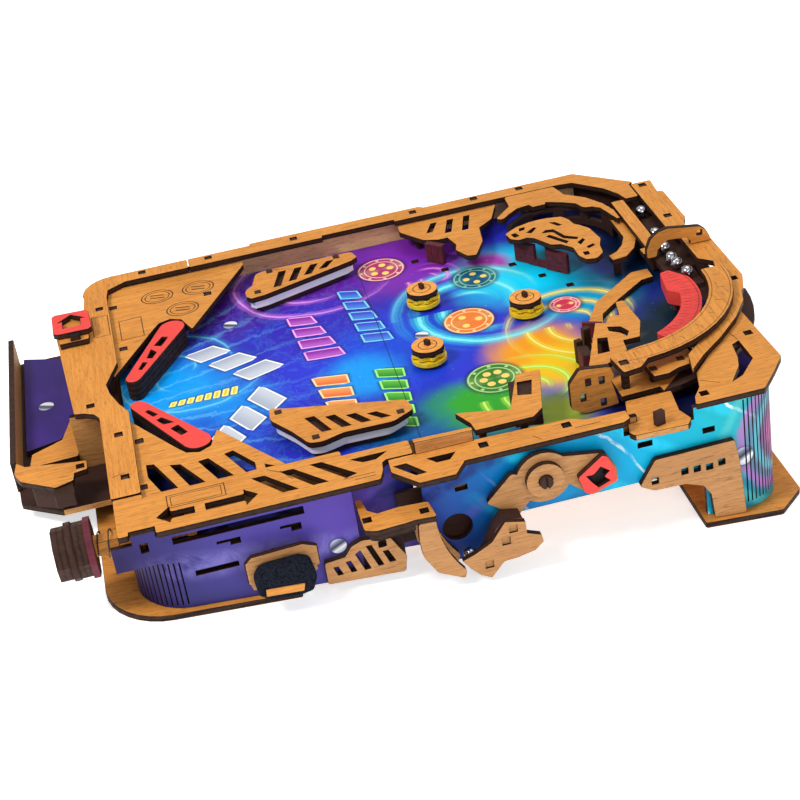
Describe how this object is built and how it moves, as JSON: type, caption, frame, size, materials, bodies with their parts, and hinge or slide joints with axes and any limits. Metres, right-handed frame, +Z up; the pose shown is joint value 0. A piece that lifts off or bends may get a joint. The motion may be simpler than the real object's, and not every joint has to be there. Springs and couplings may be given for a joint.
{
  "type": "tabletop pinball game",
  "caption": "Small wooden pinball game of stacked laser-cut plywood, with a tilted playfield, flippers, a plunger, a ball lift and a ball tray.",
  "frame": {"origin": "on the ground, under the middle of the whole game's box", "axes": "+Z up, +Y from the player's end to the back, +X to the player's right, where the plunger and the ball lift are"},
  "size_m": [0.2418, 0.313, 0.0714],
  "materials": {
    "wood": "satin",
    "dark": "matte",
    "red": "satin",
    "maroon": "matte",
    "print": "satin",
    "foam": "matte",
    "yellow": "satin",
    "steel": "polished"
  },
  "bodies": {
    "case": {"front_crossbar": "wood", "launch_cover": "wood", "near_rail": "wood", "far_rail": "wood", "back_corner_rail": "wood", "back_rim": "wood", "channel_outer_rail": "wood", "channel_inner_rail": "wood", "far_apron": "wood", "near_apron": "wood", "playfield": "print", "near_slingshot": "wood", "far_slingshot": "wood", "bumper_1": "yellow", "bumper_2": "yellow", "bumper_3": "yellow", "return_arc": "wood", "track_floor": "wood", "red_deflector": "red", "castle_plate": "wood", "single_target": "maroon", "twin_target": "maroon", "shield_plate": "wood", "lane_side_plate": "wood", "far_lane_plate": "wood", "arch_plate": "wood", "arch_wall": "dark", "ornate_bracket": "wood", "gate_plate": "wood", "near_front_panel": "print", "near_back_panel": "print", "recess_panel": "print", "far_side_panel": "print", "front_bulkhead": "dark", "back_bulkhead": "dark", "lane_inner_wall": "dark", "lane_outer_wall": "dark", "tray_deck": "wood", "tray_floor": "print", "tray_ledge": "wood", "decor_plate": "wood", "lift_shelf": "wood", "lift_chute": "wood", "lever_axle": "dark", "leg_bracket": "wood", "channel_ball": "steel", "front_foot_plate": "wood", "back_foot_plate": "wood"},
    "near_flipper_body": {"near_flipper": "red"},
    "far_flipper_body": {"far_flipper": "red"},
    "near_button_body": {"near_button": "foam"},
    "far_button_body": {"far_button": "foam"},
    "plunger_body": {"plunger_knob": "dark", "plunger_bar": "wood", "plunger_spring": "steel"},
    "lever_body": {"lever_arm": "red", "lift_paddle": "wood", "lift_ball": "steel"},
    "key_body": {"red_key": "red", "key_slider": "dark"}
  },
  "joints": [
    {"name": "near_flipper_turn", "type": "hinge", "parent": "case", "child": "near_flipper_body", "pos_m": [0.04568, -0.08079, 0.03427], "axis": [0, 0.0785, -0.9969], "range_deg": [0, 50], "stiffness_Nm_per_rad": 0.003},
    {"name": "far_flipper_turn", "type": "hinge", "parent": "case", "child": "far_flipper_body", "pos_m": [-0.05273, -0.08079, 0.03427], "axis": [0, -0.0785, 0.9969], "range_deg": [0, 50], "stiffness_Nm_per_rad": 0.003},
    {"name": "near_button_push", "type": "slide", "parent": "case", "child": "near_button_body", "axis": [-1, 0, 0], "range_m": [0, 0.004]},
    {"name": "far_button_push", "type": "slide", "parent": "case", "child": "far_button_body", "axis": [1, 0, 0], "range_m": [0, 0.004]},
    {"name": "plunger_pull", "type": "slide", "parent": "case", "child": "plunger_body", "axis": [0, -0.9969, -0.0785], "range_m": [0, 0.014], "stiffness_N_per_m": 120},
    {"name": "ball_lift_turn", "type": "hinge", "parent": "case", "child": "lever_body", "pos_m": [0.10767, 0.04242, 0.03644], "axis": [-1, 0, 0], "range_deg": [0, 25]},
    {"name": "red_key_slide", "type": "slide", "parent": "case", "child": "key_body", "axis": [-1, 0, 0], "range_m": [0, 0.006]}
  ],
  "couplings": [
    {"joint": "near_button_push", "follows": "near_flipper_turn", "m_per_rad": 0.004584},
    {"joint": "far_button_push", "follows": "far_flipper_turn", "m_per_rad": 0.004584}
  ]
}
